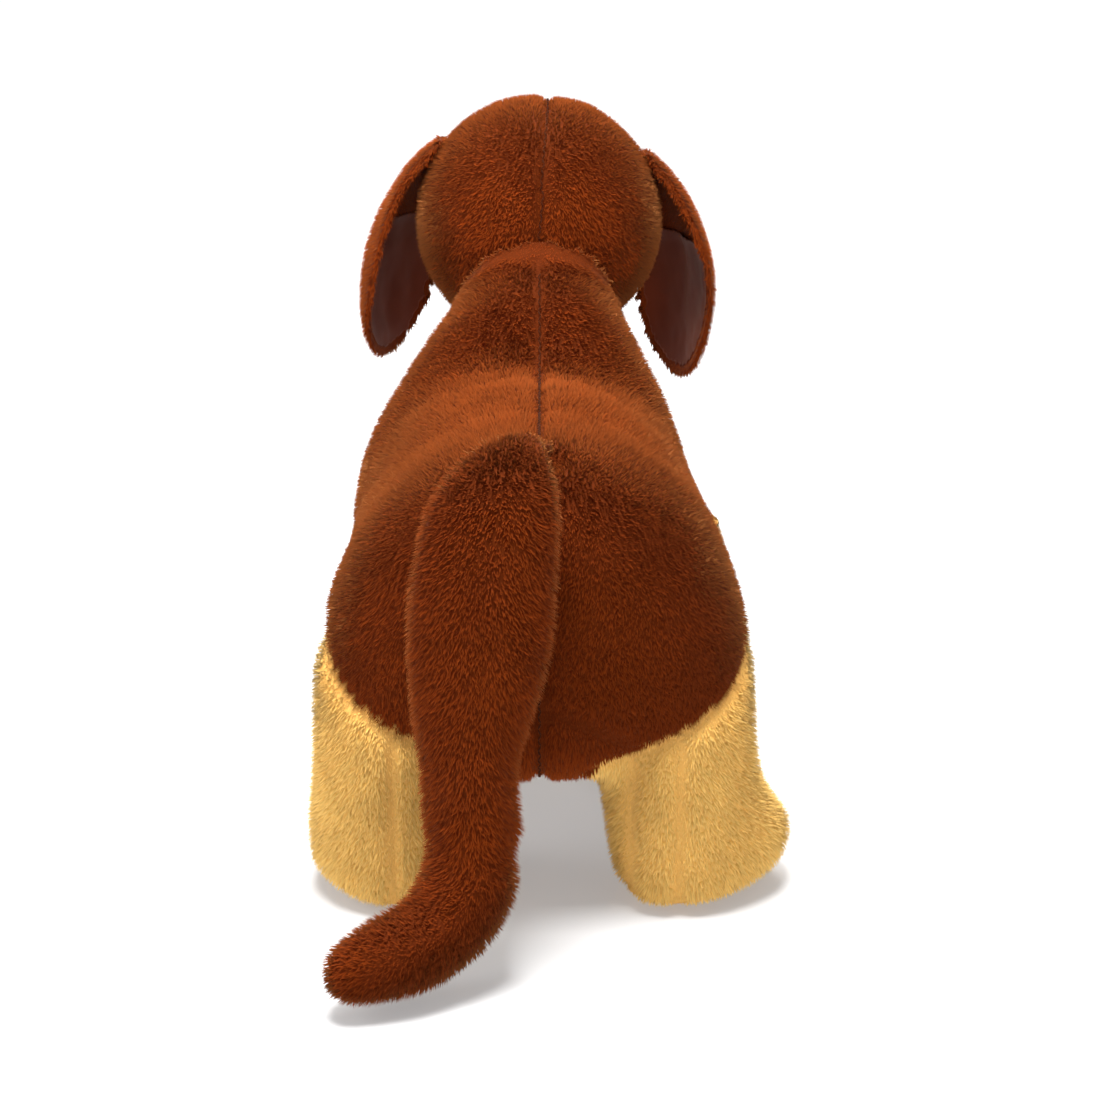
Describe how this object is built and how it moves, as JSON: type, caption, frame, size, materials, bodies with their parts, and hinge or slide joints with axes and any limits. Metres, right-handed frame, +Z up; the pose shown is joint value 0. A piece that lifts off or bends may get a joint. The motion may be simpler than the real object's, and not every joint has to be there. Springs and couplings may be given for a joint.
{
  "type": "plush dog",
  "caption": "Standing plush hound in brown and tan pile, with drop ears that flap, a head that nods and turns, and a long limp tail that swings and lifts.",
  "frame": {"origin": "on the floor, under the middle of the overall length and width", "axes": "-Y towards the nose, +X towards the dog's own left, +Z up"},
  "size_m": [0.2388, 0.5806, 0.356],
  "materials": {
    "brown_plush": "matte",
    "tan_plush": "matte",
    "lining": "satin",
    "fibre_fill": "matte",
    "black_plastic": "gloss",
    "washer": "matte"
  },
  "bodies": {
    "torso": {"body_panel_left": "brown_plush", "body_panel_right": "brown_plush", "belly_panel": "brown_plush", "chest_panel": "tan_plush", "body_stuffing": "fibre_fill", "hind_leg_left_outer_panel": "tan_plush", "hind_leg_left_inner_panel": "tan_plush", "hind_leg_left_sole": "tan_plush", "hind_leg_left_stuffing": "fibre_fill", "hind_leg_right_outer_panel": "tan_plush", "hind_leg_right_inner_panel": "tan_plush", "hind_leg_right_sole": "tan_plush", "hind_leg_right_stuffing": "fibre_fill", "front_leg_left_outer_panel": "tan_plush", "front_leg_left_inner_panel": "tan_plush", "front_leg_left_sole": "tan_plush", "front_leg_left_stuffing": "fibre_fill", "front_leg_right_outer_panel": "tan_plush", "front_leg_right_inner_panel": "tan_plush", "front_leg_right_sole": "tan_plush", "front_leg_right_stuffing": "fibre_fill"},
    "neck": {"neck_seam_tape": "brown_plush"},
    "head": {"head_panel_left": "brown_plush", "head_panel_right": "brown_plush", "muzzle_panel": "tan_plush", "chin_panel": "tan_plush", "brow_spot_left": "tan_plush", "brow_spot_right": "tan_plush", "head_stuffing": "fibre_fill", "eye_left": "black_plastic", "eye_right": "black_plastic", "eye_washer_left": "washer", "eye_washer_right": "washer", "nose": "black_plastic", "nose_washer": "washer"},
    "ear_left": {"ear_left_outer": "brown_plush", "ear_left_lining": "lining"},
    "ear_right": {"ear_right_outer": "brown_plush", "ear_right_lining": "lining"},
    "tail_root": {"tail_root": "brown_plush"},
    "tail_upper": {"tail_upper_skin": "brown_plush", "tail_upper_stuffing": "fibre_fill"},
    "tail_end": {"tail_end_skin": "brown_plush", "tail_end_stuffing": "fibre_fill"}
  },
  "joints": [
    {"name": "neck_nod", "type": "hinge", "parent": "torso", "child": "neck", "pos_m": [0, -0.175, 0.285], "axis": [1, 0, 0], "range_deg": [-12, 12], "stiffness_Nm_per_rad": 2},
    {"name": "neck_turn", "type": "hinge", "parent": "neck", "child": "head", "pos_m": [0, -0.175, 0.285], "axis": [0, 0, 1], "range_deg": [-25, 25], "stiffness_Nm_per_rad": 1},
    {"name": "ear_left_flap", "type": "hinge", "parent": "head", "child": "ear_left", "pos_m": [0.05436, -0.177, 0.33191], "axis": [0, -1, 0], "range_deg": [0, 95]},
    {"name": "ear_right_flap", "type": "hinge", "parent": "head", "child": "ear_right", "pos_m": [-0.06036, -0.177, 0.32388], "axis": [0, 1, 0], "range_deg": [0, 95]},
    {"name": "tail_wag", "type": "hinge", "parent": "torso", "child": "tail_root", "pos_m": [0.002, 0.147, 0.231], "axis": [0, 0, 1], "range_deg": [-12, 20]},
    {"name": "tail_lift", "type": "hinge", "parent": "tail_root", "child": "tail_upper", "pos_m": [0.002, 0.147, 0.231], "axis": [1, 0, 0], "range_deg": [0, 65]},
    {"name": "tail_curl", "type": "hinge", "parent": "tail_upper", "child": "tail_end", "pos_m": [0.031, 0.23, 0.055], "axis": [0.6402, -0.7682, 0], "range_deg": [0, 35]}
  ]
}
